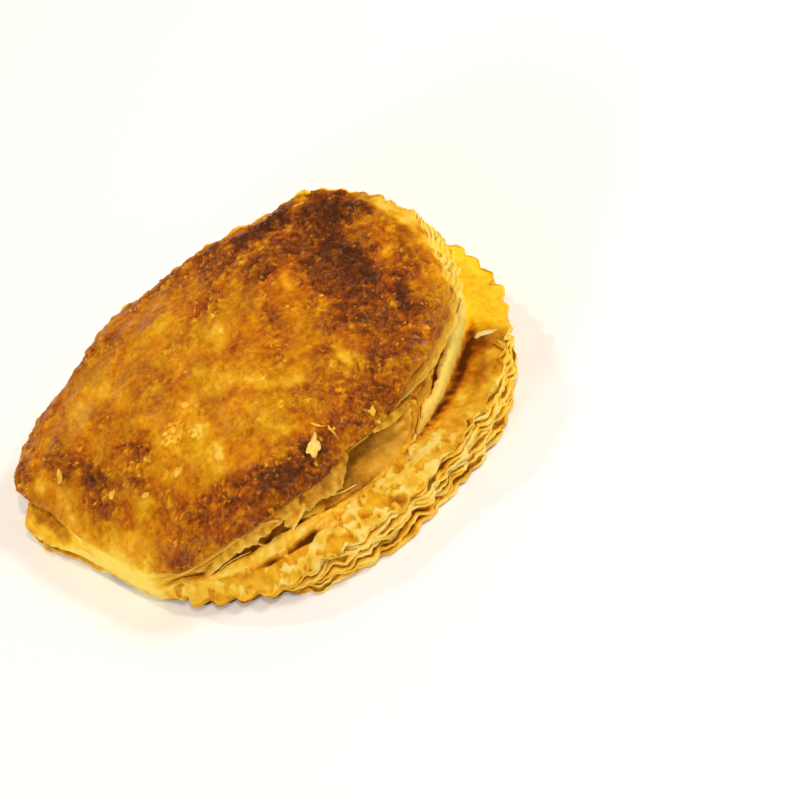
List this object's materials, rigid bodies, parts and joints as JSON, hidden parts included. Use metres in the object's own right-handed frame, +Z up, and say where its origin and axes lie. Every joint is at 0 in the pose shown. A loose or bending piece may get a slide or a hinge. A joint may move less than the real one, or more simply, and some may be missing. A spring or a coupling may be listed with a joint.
{
  "type": "puff pastry pie",
  "caption": "Baked puff pastry turnover: an oval sheet folded over its filling, with a fluted, layered rim that gapes round the cut side and a browned, glazed crust.",
  "frame": {"origin": "centre of the object's box, on the surface that the base rests on", "axes": "+X from the fold to the rounded tip, +Y to the far side, +Z up out of the crust"},
  "size_m": [0.1388, 0.1082, 0.0419],
  "materials": {
    "crust": "baked puff pastry, golden brown with an egg glaze, pale between the layers"
  },
  "bodies": {
    "root": {"pastry": "crust"}
  },
  "joints": []
}
